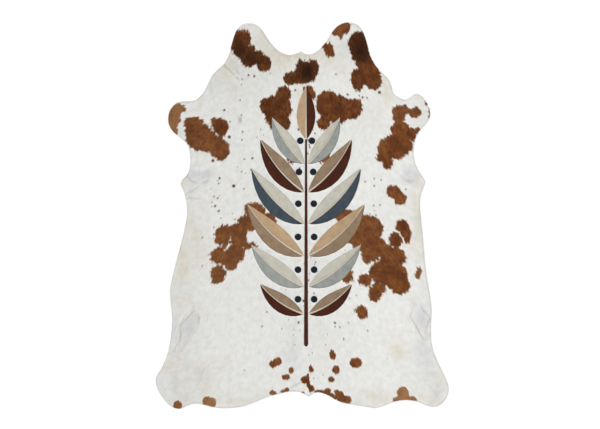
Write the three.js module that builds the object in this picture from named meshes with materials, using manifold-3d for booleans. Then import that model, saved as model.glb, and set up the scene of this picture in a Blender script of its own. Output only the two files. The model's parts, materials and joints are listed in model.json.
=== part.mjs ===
// A cowhide rug, laid flat, with an upright spray of leaves cut from dyed hide and sewn on its hair side.
// Millimetres, +Z up. X runs across the hide and +Y from the tail to the neck. The origin is on the
// floor, under the middle of the hide's outline.
import * as THREE from 'three';
import { mergeVertices } from 'three/addons/utils/BufferGeometryUtils.js';
import Module from 'manifold-3d';

const wasm = await Module();
wasm.setup();

// Driving dimensions of the hide and of the pieces sewn on it
const HIDE_THICKNESS = 3;
const PIECE_THICKNESS = 2;
const SEAM_GAP = 0.3;
const SPINE_X = 25;
const KNOT_STEPS = 3;
const RELIEF_STEP = 25;

// Driving dimensions of the leaf spray
const STEM_FOOT_Y = -800;
const STEM_TOP_Y = 470;
const STEM_FOOT_HALF_WIDTH = 13;
const STEM_TOP_HALF_WIDTH = 6;
const RIB_ROOT_HALF_WIDTH = 5;
const RIB_TIP_HALF_WIDTH = 1.6;
const LEAF_SHARES = [0, 0.015, 0.05, 0.12, 0.21, 0.31, 0.42, 0.53, 0.64, 0.75, 0.85, 0.93, 0.98, 1];
const BERRY_RADIUS = 21;
const BERRY_SIDES = 20;

// The cut edge of the hide, clockwise from the nape. Each row is a stretch of the edge, with the
// knots that its curve passes, x and y in turn.
const EDGE = [
  { part: 'nape', xy: [-82, 998, -45, 1005, -22, 1012, -8, 1019, 6, 1011, 22, 1004, 48, 1001, 85, 1016] },
  { part: 'right neck flap', xy: [119, 1046, 151, 1087, 185, 1140, 218, 1176, 261, 1197, 300, 1199] },
  { part: 'right neck', xy: [345, 1184, 373, 1150, 391, 1108, 408, 1045, 426, 984, 453, 935, 491, 891, 532, 849] },
  { part: 'right shoulder', xy: [552, 805, 563, 764, 588, 740, 638, 721, 668, 736] },
  { part: 'right fore shank', xy: [690, 753, 712, 757, 738, 743, 768, 706, 788, 662, 793, 624, 780, 589, 754, 556] },
  { part: 'right armpit', xy: [724, 521, 704, 483, 693, 435, 690, 378, 697, 333, 716, 288, 746, 243] },
  { part: 'right elbow', xy: [762, 213, 755, 188, 740, 148, 729, 98] },
  { part: 'right belly', xy: [730, 35, 738, -40, 750, -180, 760, -310, 777, -410, 795, -510, 801, -600] },
  { part: 'right flank', xy: [796, -700, 799, -770, 815, -845, 838, -903, 862, -953] },
  { part: 'right hind shank', xy: [887, -1005, 905, -1055, 902, -1105, 884, -1142, 852, -1174, 815, -1186] },
  { part: 'right hock', xy: [768, -1176, 715, -1154, 660, -1144, 600, -1147, 545, -1163] },
  { part: 'right rump', xy: [480, -1188, 450, -1193, 400, -1186, 320, -1173, 262, -1163] },
  { part: 'right tail root', xy: [210, -1144, 168, -1119, 130, -1103, 95, -1096, 66, -1103] },
  { part: 'tail', xy: [41, -1121, 15, -1107, -15, -1094, -50, -1090, -90, -1092] },
  { part: 'left rump', xy: [-140, -1104, -210, -1122, -300, -1159, -375, -1184, -460, -1193, -545, -1189] },
  { part: 'left hock', xy: [-610, -1173, -665, -1165, -705, -1174, -750, -1196] },
  { part: 'left hind shank', xy: [-785, -1196, -825, -1175, -868, -1126, -897, -1076, -909, -1027, -899, -985] },
  { part: 'left flank', xy: [-875, -949, -847, -890, -827, -825, -814, -745, -807, -640, -817, -530] },
  { part: 'left belly', xy: [-820, -465, -806, -385, -772, -250, -739, -125, -718, -20, -715, 50, -724, 108] },
  { part: 'left elbow', xy: [-738, 160, -755, 198, -740, 229, -716, 253] },
  { part: 'left armpit', xy: [-699, 290, -693, 335, -697, 385, -709, 433, -731, 461] },
  { part: 'left fore shank', xy: [-780, 500, -812, 533, -829, 572, -831, 612, -819, 655, -792, 689, -759, 709] },
  { part: 'left shoulder', xy: [-702, 712, -662, 718, -626, 746, -597, 789, -575, 836, -552, 877] },
  { part: 'left neck', xy: [-520, 910, -485, 944, -465, 975, -450, 1012, -440, 1057, -426, 1107, -406, 1155] },
  { part: 'left neck flap', xy: [-372, 1187, -330, 1195, -289, 1186, -252, 1157, -220, 1108, -181, 1056, -135, 1015] },
];

// Loose skin that stands off the floor, in millimetres. along and across are half the length and
// half the width of each swelling, and turn is the angle of its long axis from +Y, clockwise. The
// tips of the shanks and the neck flaps lie on the floor along their cut.
const SWELLINGS = [
  { name: 'left flank fold', x: -715, y: -700, along: 175, across: 62, turn: 20, rise: 9 },
  { name: 'right flank fold', x: 730, y: -660, along: 150, across: 68, turn: -22, rise: 9 },
  { name: 'left armpit fold', x: -625, y: 240, along: 125, across: 62, turn: 66, rise: 7 },
  { name: 'right armpit fold', x: 660, y: 250, along: 105, across: 75, turn: -40, rise: 7 },
  { name: 'left belly edge', x: -765, y: -330, along: 230, across: 55, turn: 14, rise: 3 },
  { name: 'right belly edge', x: 765, y: -250, along: 260, across: 50, turn: -6, rise: 3 },
  { name: 'left hind shank', x: -800, y: -1080, along: 95, across: 65, turn: -25, rise: 5 },
  { name: 'right hind shank', x: 805, y: -1085, along: 90, across: 65, turn: 25, rise: 5 },
  { name: 'left fore shank', x: -755, y: 605, along: 75, across: 50, turn: 4, rise: 4 },
  { name: 'right fore shank', x: 715, y: 655, along: 75, across: 50, turn: -10, rise: 4 },
  { name: 'left neck flap', x: -335, y: 1110, along: 65, across: 50, turn: 0, rise: 4 },
  { name: 'right neck flap', x: 305, y: 1110, along: 65, across: 50, turn: 0, rise: 4 },
];

// The pairs of leaves, from the foot of the stem up. rootY is where a leaf leaves the stem, lean its
// angle from +Y there, and curl how much nearer to +Y it points at its tip. The berry in the angle
// between leaf and stem is berryOut from the stem's middle and berryUp above the leaf's root.
const LEAF_PAIRS = [
  {
    rootY: -610, length: 330, halfWidth: 56, lean: 74, curl: 34, berryOut: 50, berryUp: 90,
    upper: 'taupe', lower: 'brown',
  },
  {
    rootY: -440, length: 420, halfWidth: 66, lean: 70, curl: 34, berryOut: 50, berryUp: 103,
    upper: 'pale_grey', lower: 'grey',
  },
  {
    rootY: -250, length: 480, halfWidth: 72, lean: 66, curl: 34, berryOut: 50, berryUp: 116,
    upper: 'tan', lower: 'taupe',
  },
  {
    rootY: -50, length: 480, halfWidth: 72, lean: 62, curl: 34, berryOut: 48, berryUp: 122,
    upper: 'pale_grey', lower: 'slate',
  },
  {
    rootY: 145, length: 430, halfWidth: 68, lean: 57, curl: 32, berryOut: 44, berryUp: 124,
    upper: 'taupe', lower: 'brown',
  },
  {
    rootY: 320, length: 350, halfWidth: 58, lean: 50, curl: 28, berryOut: 36, berryUp: 142,
    upper: 'pale_grey', lower: 'grey',
  },
];
const TOP_LEAF = { length: 330, halfWidth: 58, upper: 'tan', lower: 'brown' };

const COLOURS = {
  hide: '#dedcd4',
  cream: '#d9cdbb',
  pale_grey: '#b9b8ae',
  grey: '#8d9191',
  taupe: '#84705c',
  tan: '#bd9f7c',
  brown: '#42241a',
  slate: '#3d4850',
  navy: '#1b242e',
};
const materials = Object.fromEntries(Object.entries(COLOURS).map(([name, color]) => [
  name,
  new THREE.MeshStandardMaterial({ color, roughness: 0.8, metalness: 0 }),
]));

const rug = new THREE.Group();

function addMesh(name, geometry, colour) {
  const mesh = new THREE.Mesh(geometry, materials[colour]);
  mesh.name = name;
  rug.add(mesh);
  return mesh;
}

// The hide

function edgePoints() {
  const knots = EDGE.flatMap(({ xy }) => (
    xy.filter((_, i) => i % 2 === 0).map((x, i) => new THREE.Vector3(x, xy[2 * i + 1], 0))
  ));
  const curve = new THREE.CatmullRomCurve3(knots, true, 'centripetal');
  return curve.getPoints(knots.length * KNOT_STEPS).slice(1);
}

function centred(points) {
  const box = new THREE.Box3().setFromPoints(points);
  const middle = box.getCenter(new THREE.Vector3());
  return points.map((p) => p.clone().sub(middle));
}

function riseOf(x, y) {
  let rise = 0;
  for (const s of SWELLINGS) {
    const turn = THREE.MathUtils.degToRad(s.turn);
    const dx = x - s.x;
    const dy = y - s.y;
    const along = (dx * Math.sin(turn) + dy * Math.cos(turn)) / s.along;
    const across = (dx * Math.cos(turn) - dy * Math.sin(turn)) / s.across;
    const nearness = Math.max(0, 1 - along * along - across * across);
    rise += s.rise * nearness * nearness;
  }
  return rise;
}

function toSolid(geometry) {
  const bare = geometry.index ? geometry.toNonIndexed() : geometry.clone();
  bare.deleteAttribute('normal');
  bare.deleteAttribute('uv');
  const merged = mergeVertices(bare, 1e-4);
  return new wasm.Manifold(new wasm.Mesh({
    numProp: 3,
    vertProperties: merged.attributes.position.array,
    triVerts: new Uint32Array(merged.index.array),
  }));
}

function toGeometry(solid) {
  const mesh = solid.getMesh();
  const geometry = new THREE.BufferGeometry();
  geometry.setAttribute('position', new THREE.BufferAttribute(mesh.vertProperties, 3));
  geometry.setIndex(new THREE.BufferAttribute(mesh.triVerts, 1));
  return geometry;
}

// A rectangular sheet wider than the hide, which rises and falls with the loose skin
function reliefSheet(halfX, halfY) {
  const columns = Math.ceil((2 * halfX) / RELIEF_STEP);
  const rows = Math.ceil((2 * halfY) / RELIEF_STEP);
  const sheet = new THREE.BoxGeometry(2 * halfX, 2 * halfY, HIDE_THICKNESS, columns, rows, 1);
  const position = sheet.attributes.position;
  for (let i = 0; i < position.count; i += 1) {
    const lift = riseOf(position.getX(i), position.getY(i)) + HIDE_THICKNESS / 2;
    position.setZ(i, position.getZ(i) + lift);
  }
  return sheet;
}

function hideGeometry() {
  const outline = centred(edgePoints());
  const box = new THREE.Box3().setFromPoints(outline);
  const cutterHeight = 100;
  const shape = new THREE.Shape(outline.map((p) => new THREE.Vector2(p.x, p.y)));
  const cutter = new THREE.ExtrudeGeometry(shape, { depth: cutterHeight, bevelEnabled: false });
  cutter.translate(0, 0, -cutterHeight / 2);
  const sheet = reliefSheet(box.max.x + RELIEF_STEP, box.max.y + RELIEF_STEP);
  return toGeometry(toSolid(sheet).intersect(toSolid(cutter)).asOriginal().simplify(0.02));
}

// The leaf spray. Its pieces are flat plates that lie on the hide, a seam's gap above it.

function plate(points) {
  const shape = new THREE.Shape(points.map(([x, y]) => new THREE.Vector2(x, y)));
  const geometry = new THREE.ExtrudeGeometry(shape, { depth: PIECE_THICKNESS, bevelEnabled: false });
  return geometry.translate(0, 0, HIDE_THICKNESS + SEAM_GAP);
}

function stemHalfWidth(y) {
  return THREE.MathUtils.mapLinear(y, STEM_FOOT_Y, STEM_TOP_Y, STEM_FOOT_HALF_WIDTH, STEM_TOP_HALF_WIDTH);
}

// Places along the middle of a leaf that leaves (x, y) leaning to the given side, each with its
// direction and how wide the leaf and its rib are there.
function leafStations(leaf, x, y, side) {
  const stations = [];
  let px = x;
  let py = y;
  let reached = 0;
  for (const share of LEAF_SHARES) {
    const angle = THREE.MathUtils.degToRad(leaf.lean - leaf.curl * share);
    const direction = [side * Math.sin(angle), Math.cos(angle)];
    px += direction[0] * leaf.length * (share - reached);
    py += direction[1] * leaf.length * (share - reached);
    reached = share;
    stations.push({
      x: px,
      y: py,
      across: [-direction[1], direction[0]],
      leafHalf: leaf.halfWidth * Math.sin(Math.PI * share ** 0.85) ** 0.9,
      ribHalf: THREE.MathUtils.lerp(RIB_ROOT_HALF_WIDTH, RIB_TIP_HALF_WIDTH, share),
    });
  }
  return stations;
}

function offset(station, distance) {
  return [station.x + station.across[0] * distance, station.y + station.across[1] * distance];
}

// One half of a leaf lies on the left (+1) or the right (-1) of its rib, seen from root to tip.
function leafHalf(stations, hand) {
  const blade = stations.filter(({ leafHalf: half, ribHalf }) => half > ribHalf + 2 * SEAM_GAP);
  const inner = blade.map((s) => offset(s, hand * (s.ribHalf + SEAM_GAP)));
  const outer = blade.map((s) => offset(s, hand * s.leafHalf));
  return plate([...inner, ...outer.reverse()]);
}

function ribStrip(stations) {
  const left = stations.map((s) => offset(s, s.ribHalf));
  const right = stations.map((s) => offset(s, -s.ribHalf));
  return plate([...left, ...right.reverse()]);
}

function addLeaf(name, leaf, x, y, side) {
  const stations = leafStations(leaf, x, y, side);
  addMesh(`${name}_rib`, ribStrip(stations), 'cream');
  addMesh(`${name}_upper`, leafHalf(stations, side), leaf.upper);
  addMesh(`${name}_lower`, leafHalf(stations, -side), leaf.lower);
}

function addStem() {
  const foot = stemHalfWidth(STEM_FOOT_Y);
  const top = stemHalfWidth(STEM_TOP_Y);
  addMesh('stem', plate([
    [SPINE_X - foot * 0.4, STEM_FOOT_Y - foot],
    [SPINE_X + foot * 0.4, STEM_FOOT_Y - foot],
    [SPINE_X + foot, STEM_FOOT_Y],
    [SPINE_X + top, STEM_TOP_Y],
    [SPINE_X - top, STEM_TOP_Y],
    [SPINE_X - foot, STEM_FOOT_Y],
  ]), 'brown');
}

function addBerry(name, x, y) {
  const points = Array.from({ length: BERRY_SIDES }, (_, i) => {
    const angle = (2 * Math.PI * i) / BERRY_SIDES;
    return [x + BERRY_RADIUS * Math.cos(angle), y + BERRY_RADIUS * Math.sin(angle)];
  });
  addMesh(name, plate(points), 'navy');
}

addMesh('hide', hideGeometry(), 'hide');
addStem();
LEAF_PAIRS.forEach((leaf, i) => {
  for (const [hand, side] of [['left', -1], ['right', 1]]) {
    const rootX = SPINE_X + side * (stemHalfWidth(leaf.rootY) + RIB_ROOT_HALF_WIDTH + SEAM_GAP);
    addLeaf(`leaf_${hand}_${i + 1}`, leaf, rootX, leaf.rootY, side);
    addBerry(`berry_${hand}_${i + 1}`, SPINE_X + side * leaf.berryOut, leaf.rootY + leaf.berryUp);
  }
});
addLeaf('leaf_top', { ...TOP_LEAF, lean: 0, curl: 0 }, SPINE_X, STEM_TOP_Y + 2 * SEAM_GAP, 1);

export default rug;
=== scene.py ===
# %% [markdown]
# # A cowhide rug with sewn leaves
#
# This lesson dresses a flat cowhide: a white, hair-on hide with red-brown patches, and an upright
# spray of leaves cut from dyed hide and sewn over its middle. The frame already holds the plain
# solids, in metres, with +Y from the tail to the neck and +Z out of the hair side. Each step below
# lays a finer piece over one of them: the skin, its hair, the leaves, their nap and the thread.

# %% The frame
import json
import math

import bpy
import numpy as np
from mathutils.geometry import delaunay_2d_cdt
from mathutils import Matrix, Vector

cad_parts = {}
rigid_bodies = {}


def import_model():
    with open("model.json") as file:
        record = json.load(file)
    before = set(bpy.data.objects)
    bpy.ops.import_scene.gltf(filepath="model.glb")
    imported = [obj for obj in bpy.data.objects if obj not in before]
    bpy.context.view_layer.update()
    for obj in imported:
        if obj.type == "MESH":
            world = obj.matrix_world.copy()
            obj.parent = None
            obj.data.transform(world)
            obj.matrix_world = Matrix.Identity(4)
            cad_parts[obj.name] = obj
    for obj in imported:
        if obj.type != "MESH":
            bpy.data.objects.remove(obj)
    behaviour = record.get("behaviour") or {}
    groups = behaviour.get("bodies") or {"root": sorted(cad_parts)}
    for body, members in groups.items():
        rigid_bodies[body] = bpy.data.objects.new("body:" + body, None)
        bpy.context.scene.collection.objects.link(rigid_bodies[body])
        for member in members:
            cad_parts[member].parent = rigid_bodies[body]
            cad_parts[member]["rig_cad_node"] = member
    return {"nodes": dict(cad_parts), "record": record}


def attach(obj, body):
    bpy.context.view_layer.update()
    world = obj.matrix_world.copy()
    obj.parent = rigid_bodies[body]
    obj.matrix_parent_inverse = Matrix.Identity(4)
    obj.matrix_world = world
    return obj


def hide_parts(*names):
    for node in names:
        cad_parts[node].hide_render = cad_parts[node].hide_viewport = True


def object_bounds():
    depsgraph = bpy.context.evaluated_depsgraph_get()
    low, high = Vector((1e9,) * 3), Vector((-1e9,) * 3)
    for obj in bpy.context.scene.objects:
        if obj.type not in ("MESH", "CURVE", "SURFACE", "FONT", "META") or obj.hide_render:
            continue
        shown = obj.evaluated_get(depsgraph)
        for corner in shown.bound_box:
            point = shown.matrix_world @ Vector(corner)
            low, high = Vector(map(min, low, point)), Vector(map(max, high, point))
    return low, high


MILLIMETRE = 0.001
CENTIMETRE = 0.01

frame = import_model()
scene = bpy.context.scene
SOLID_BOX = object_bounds()


def placed(name, data):
    """A new object of the scene."""
    made = bpy.data.objects.new(name, data)
    scene.collection.objects.link(made)
    return made


print("solids:", len(frame["nodes"]), "in a box of", [round(b - a, 4) for a, b in zip(*SOLID_BOX)], "m")

# %% [markdown]
# The rug is shown whole, from straight above. A long lens well away from the floor keeps its edges
# from spreading, and the distance follows from the width of floor that the picture takes in.

# %% Camera
FLOOR_IN_VIEW = 3.72
VIEW_MIDDLE = (-0.0124, 0.005)
LENS_MM = 85
SENSOR_MM = 36

lens = bpy.data.cameras.new("camera")
lens.lens = LENS_MM
lens.sensor_width = SENSOR_MM
camera = placed("camera", lens)
camera.location = (*VIEW_MIDDLE, FLOOR_IN_VIEW * LENS_MM / SENSOR_MM)
scene.camera = camera
print("camera height:", round(camera.location.z, 2), "m")

# %% [markdown]
# A studio floor is matt and almost white. The light comes from everywhere, as under a diffusing
# ceiling, with a wide, soft sun from the upper left, which gives the low folds of the skin a bright
# and a dark side. The plain Standard view keeps the whites white.

# %% Light
SKY_STRENGTH = 0.68
SUN_STRENGTH = 1.75
SUN_WIDTH_DEG = 35
SUN_TURN_DEG = (-28, -34, 0)

scene.view_settings.view_transform = "Standard"

sky = bpy.data.worlds.new("sky")
sky.use_nodes = True
glow = sky.node_tree.nodes["Background"]
glow.inputs["Color"].default_value = (1, 1, 1, 1)
glow.inputs["Strength"].default_value = SKY_STRENGTH
scene.world = sky

sun = bpy.data.lights.new("sun", "SUN")
sun.energy = SUN_STRENGTH
sun.angle = math.radians(SUN_WIDTH_DEG)
lamp = placed("sun", sun)
lamp.rotation_euler = [math.radians(turn) for turn in SUN_TURN_DEG]
print("light: sky", SKY_STRENGTH, "and sun", SUN_STRENGTH)

# %% [markdown]
# Materials come next, and they need arithmetic between node sockets. A small class wraps a socket,
# so that a sum or product of two of them adds the Math node that works it out. A second class holds
# a material and its one way of adding any node.


# %% Arithmetic on sockets
class Value:
    """A number that varies over a surface. Arithmetic on it adds Math nodes."""

    def __init__(self, finish, socket):
        self.finish = finish
        self.socket = socket

    def math(self, operation, a, b):
        return self.finish.node("ShaderNodeMath", {"operation": operation}, {0: a, 1: b})

    def __add__(self, other):
        return self.math("ADD", self, other)

    def __sub__(self, other):
        return self.math("SUBTRACT", self, other)

    def __rsub__(self, other):
        return self.math("SUBTRACT", other, self)

    def __mul__(self, other):
        return self.math("MULTIPLY", self, other)

    def between(self, low, high):
        """0 below low, 1 above high and smooth between them."""
        return self.finish.node(
            "ShaderNodeMapRange",
            {"interpolation_type": "SMOOTHSTEP"},
            {"Value": self, "From Min": low, "From Max": high},
        )


class Finish:
    """A material, and the one way in which this lesson adds a node to it."""

    def __init__(self, name):
        self.material = bpy.data.materials.new(name)
        self.material.use_nodes = True
        self.material.node_tree.nodes.clear()

    def node(self, kind, settings=None, inputs=None, output=0):
        tree = self.material.node_tree
        made = tree.nodes.new(kind)
        for name, setting in (settings or {}).items():
            setattr(made, name, setting)
        for name, given in (inputs or {}).items():
            if isinstance(given, Value):
                tree.links.new(given.socket, made.inputs[name])
            else:
                made.inputs[name].default_value = given
        return Value(self, made.outputs[output] if made.outputs else None)

    def stored(self, name, output="Fac"):
        """A number or a place that the mesh stores at its points."""
        return self.node("ShaderNodeAttribute", {"attribute_name": name}, output=output)

    def noise(self, place, scale, detail=2.0, roughness=0.5):
        return self.node(
            "ShaderNodeTexNoise",
            {},
            {"Vector": place, "Scale": scale, "Detail": detail, "Roughness": roughness},
        )

    def cells(self, place, scale):
        """The distance to the middle of the nearest of many scattered cells."""
        return self.node(
            "ShaderNodeTexVoronoi",
            {"voronoi_dimensions": "2D"},
            {"Vector": place, "Scale": scale, "Randomness": 0.9},
        )

    def mix(self, share, first, second):
        """The first colour, or by share the second."""
        inputs = {0: share, 6: first, 7: second}
        return self.node("ShaderNodeMix", {"data_type": "RGBA"}, inputs, output=2)

    def bump(self, height, distance, strength):
        """The surface's normal, tilted by a height that reaches some distance in metres."""
        inputs = {"Height": height, "Distance": distance, "Strength": strength}
        return self.node("ShaderNodeBump", {}, inputs)

    def surface(self, **sockets):
        """The visible surface. A name such as Base_Color stands for the socket Base Color."""
        named = {name.replace("_", " "): given for name, given in sockets.items()}
        shader = self.node("ShaderNodeBsdfPrincipled", {}, named)
        self.node("ShaderNodeOutputMaterial", {}, {"Surface": shader})
        return self.material


print("two classes for materials")

# %% [markdown]
# The floor takes a trace of grain, because a perfectly even white looks unreal.

# %% Floor
FLOOR_HALF = 30.0
FLOOR_DROP = 0.2 * MILLIMETRE
FLOOR_LIGHT = (0.985, 0.985, 0.985, 1)
FLOOR_DULL = (0.955, 0.955, 0.955, 1)

matt = Finish("studio_floor")
floor_place = matt.node("ShaderNodeTexCoord", {}, {}, output="Object")
floor_grain = matt.noise(floor_place, 40.0)
floor_mesh = bpy.data.meshes.new("floor")
floor_corners = [(x * FLOOR_HALF, y * FLOOR_HALF, 0) for x, y in ((-1, -1), (1, -1), (1, 1), (-1, 1))]
floor_mesh.from_pydata(floor_corners, [], [(0, 1, 2, 3)])
floor_mesh.materials.append(
    matt.surface(
        Base_Color=matt.mix(floor_grain, FLOOR_DULL, FLOOR_LIGHT),
        Roughness=0.9,
        Specular_IOR_Level=0.1,
    )
)
floor = placed("floor", floor_mesh)
floor.location.z = -FLOOR_DROP
print("floor:", 2 * FLOOR_HALF, "m square")

# %% [markdown]
# Every piece starts from the outline of its solid. The faces that look down share all their edges
# but the ones along the cut, so those edges, put in order, are the outline. A grid then holds how
# far each place on the floor lies inside a cut edge, which the skin, its hair and the leaves all ask.


# %% Outlines
def outline_of(node):
    """The cut edge of a node as points in order, anticlockwise from above."""
    mesh = frame["nodes"][node].data
    edges = set()
    for face in mesh.polygons:
        if face.normal.z < -0.5:
            corners = [tuple(round(c, 5) for c in mesh.vertices[v].co[:2]) for v in face.vertices]
            edges.update(zip(corners, corners[1:] + corners[:1]))
    before = {b: a for a, b in edges if (b, a) not in edges}
    points = [next(iter(before))]
    while before[points[-1]] != points[0]:
        points.append(before[points[-1]])
    return np.array(points)


def spaced(points, step):
    """A closed outline with a point about every step."""
    found = []
    for a, b in zip(points, np.roll(points, -1, axis=0)):
        pieces = max(1, round(np.hypot(*(b - a)) / step))
        found.extend(a + (b - a) * i / pieces for i in range(pieces))
    return np.array(found)


hide_outline = outline_of("hide")
print("hide outline:", len(hide_outline), "points")


# %% Distance inside a cut edge
class EdgeMap:
    """How far a place is inside any of some outlines, in metres, up to a reach. Outside is negative."""

    def __init__(self, outlines, step, reach):
        corners = np.concatenate(outlines)
        self.low = corners.min(0) - reach
        self.step = step
        columns, rows = np.ceil((corners.max(0) + reach - self.low) / step).astype(int) + 1
        xs = self.low[0] + step * np.arange(columns)
        ys = self.low[1] + step * np.arange(rows)
        away = np.full((rows, columns), reach)
        inside = np.zeros((rows, columns), bool)
        for outline in outlines:
            for (ax, ay), (bx, by) in zip(outline, np.roll(outline, -1, axis=0)):
                i = slice(*np.searchsorted(xs, (min(ax, bx) - reach, max(ax, bx) + reach)))
                j = slice(*np.searchsorted(ys, (min(ay, by) - reach, max(ay, by) + reach)))
                px, py = np.meshgrid(xs[i] - ax, ys[j] - ay)
                dx, dy = bx - ax, by - ay
                share = np.clip((px * dx + py * dy) / max(dx * dx + dy * dy, 1e-12), 0, 1)
                gap = np.hypot(px - share * dx, py - share * dy)
                away[j, i] = np.minimum(away[j, i], gap)
                spans = (ys >= min(ay, by)) & (ys < max(ay, by))
                crossing = ax + (ys[spans] - ay) / (dy or 1) * dx
                inside[spans] ^= xs[None, :] < crossing[:, None]
        self.depth = np.where(inside, away, -away)

    def __call__(self, x, y):
        rows, columns = self.depth.shape
        u = np.clip((x - self.low[0]) / self.step, 0, columns - 1.001)
        v = np.clip((y - self.low[1]) / self.step, 0, rows - 1.001)
        i, j = u.astype(int), v.astype(int)
        fu, fv = u - i, v - j
        lower = self.depth[j, i] * (1 - fu) + self.depth[j, i + 1] * fu
        upper = self.depth[j + 1, i] * (1 - fu) + self.depth[j + 1, i + 1] * fu
        return lower * (1 - fv) + upper * fv


hide_depth = EdgeMap([hide_outline], step=4 * MILLIMETRE, reach=80 * MILLIMETRE)
print("hide edge map:", hide_depth.depth.shape)

# %% [markdown]
# A hide never lies quite flat. The loose skin at the armpits, the flanks and the shanks stands a few
# millimetres off the floor, and the skin creases where it folded in storage. Both are sums of simple
# bumps: an oval swelling that fades to nothing at its rim, and a crease whose two lips stand up on
# either side of a line. A few long, shallow waves keep the rest from looking pressed.

# %% Relief of the skin
# x, y, half length and half width in centimetres, turn in degrees clockwise from +Y, rise in millimetres
SWELLINGS = {
    "left flank fold": (-71.5, -70.0, 17.5, 6.2, 20, 9),
    "right flank fold": (73.0, -66.0, 15.0, 6.8, -22, 9),
    "left armpit fold": (-62.5, 24.0, 12.5, 6.2, 66, 7),
    "right armpit fold": (66.0, 25.0, 10.5, 7.5, -40, 7),
    "left belly edge": (-76.5, -33.0, 23.0, 5.5, 14, 3),
    "right belly edge": (76.5, -25.0, 26.0, 5.0, -6, 3),
    "left hind shank": (-80.0, -108.0, 9.5, 6.5, -25, 5),
    "right hind shank": (80.5, -108.5, 9.0, 6.5, 25, 5),
    "left fore shank": (-75.5, 60.5, 7.5, 5.0, 4, 4),
    "right fore shank": (71.5, 65.5, 7.5, 5.0, -10, 4),
    "left neck flap": (-33.5, 111.0, 6.5, 5.0, 0, 4),
    "right neck flap": (30.5, 111.0, 6.5, 5.0, 0, 4),
}
# height of the lips and half width between them in millimetres, then the path in centimetres
CREASES = {
    "left neck": (2.4, 9, [(-48.5, 93.5), (-44.5, 90.5), (-41.0, 86.0), (-37.0, 81.0)]),
    "left armpit, upper": (2.0, 8, [(-70.0, 21.0), (-64.0, 23.0), (-57.0, 23.5)]),
    "left armpit, middle": (2.3, 8, [(-71.5, 13.5), (-64.0, 17.5), (-57.0, 21.5)]),
    "left armpit, lower": (1.5, 6, [(-71.0, 10.5), (-66.0, 10.7)]),
    "right armpit": (2.2, 8, [(71.0, 20.0), (65.5, 24.5), (62.0, 30.0)]),
    "left flank": (2.8, 11, [
        (-68.0, -58.5), (-73.0, -64.0), (-75.3, -68.6), (-77.2, -76.0), (-78.2, -84.0),
    ]),
    "right flank": (2.4, 10, [(76.5, -57.0), (71.5, -65.0), (70.5, -74.0)]),
    "left belly": (1.6, 16, [(-70.0, -25.0), (-70.6, -35.0), (-70.0, -45.0)]),
    "left hind leg": (0.8, 8, [(-56.0, -92.0), (-62.0, -97.0)]),
    "right hind leg": (0.8, 9, [(71.0, -92.0), (76.5, -99.0)]),
    "nape": (1.4, 10, [(2.2, 99.5), (3.0, 92.0), (3.0, 85.0)]),
    "tail root": (1.4, 10, [(3.0, -82.0), (3.4, -94.0), (3.0, -106.0)]),
}
# wave lengths across and along the hide in centimetres, start of the wave, height in millimetres
WAVES = [
    (71, 118, 0.4, 0.55), (-46, 83, 2.1, 0.45), (38, -57, 4.0, 0.35), (29, 36, 1.2, 0.22),
    (-19, 27, 5.3, 0.13),
]


def path_distance(x, y, path):
    """The distance to a path, and how far along it the nearest place is, from 0 to 1."""
    best = np.full(np.shape(x), 9.0)
    along = np.zeros(np.shape(x))
    legs = list(zip(path, path[1:]))
    for n, ((ax, ay), (bx, by)) in enumerate(legs):
        dx, dy = bx - ax, by - ay
        share = np.clip(((x - ax) * dx + (y - ay) * dy) / (dx * dx + dy * dy), 0, 1)
        gap = np.hypot(x - ax - share * dx, y - ay - share * dy)
        nearer = gap < best
        best = np.where(nearer, gap, best)
        along = np.where(nearer, (n + share) / len(legs), along)
    return best, along


def ground(x, y):
    """How high the underside of the skin stands off the floor, in metres."""
    rise = np.zeros(np.shape(x))
    for cx, cy, long, wide, turn, height in SWELLINGS.values():
        s, c = math.sin(math.radians(turn)), math.cos(math.radians(turn))
        dx, dy = x - cx * CENTIMETRE, y - cy * CENTIMETRE
        u = (dx * s + dy * c) / (long * CENTIMETRE)
        v = (dx * c - dy * s) / (wide * CENTIMETRE)
        rise += height * MILLIMETRE * np.maximum(0, 1 - u * u - v * v) ** 2
    for height, half, path in CREASES.values():
        gap, along = path_distance(x, y, [(px * CENTIMETRE, py * CENTIMETRE) for px, py in path])
        u = (gap / (half * MILLIMETRE)) ** 2
        rise += height * MILLIMETRE * u * np.exp(1 - u) * np.sin(math.pi * np.clip(along, 0.02, 0.98)) ** 0.6
    for across, lengthwise, start, height in WAVES:
        phase = 2 * math.pi * (x / (across * CENTIMETRE) + y / (lengthwise * CENTIMETRE)) + start
        rise += height * MILLIMETRE * (1 + np.sin(phase)) / 2
    return rise


flank_rises = ground(np.array([-0.715, 0.73]), np.array([-0.7, -0.66])) / MILLIMETRE
print("relief at the flanks:", flank_rises.round(1), "mm")

# %% [markdown]
# The coat's pattern is drawn with ovals. Each patch is a few of them run together, and a place's
# value is its distance inside the nearest oval's edge, so the material can roughen that edge with
# noise. Each patch has a tone of its own: this hide is nearly black at the neck, red-brown on the
# shoulders and flanks, and tan at the shanks.

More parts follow.
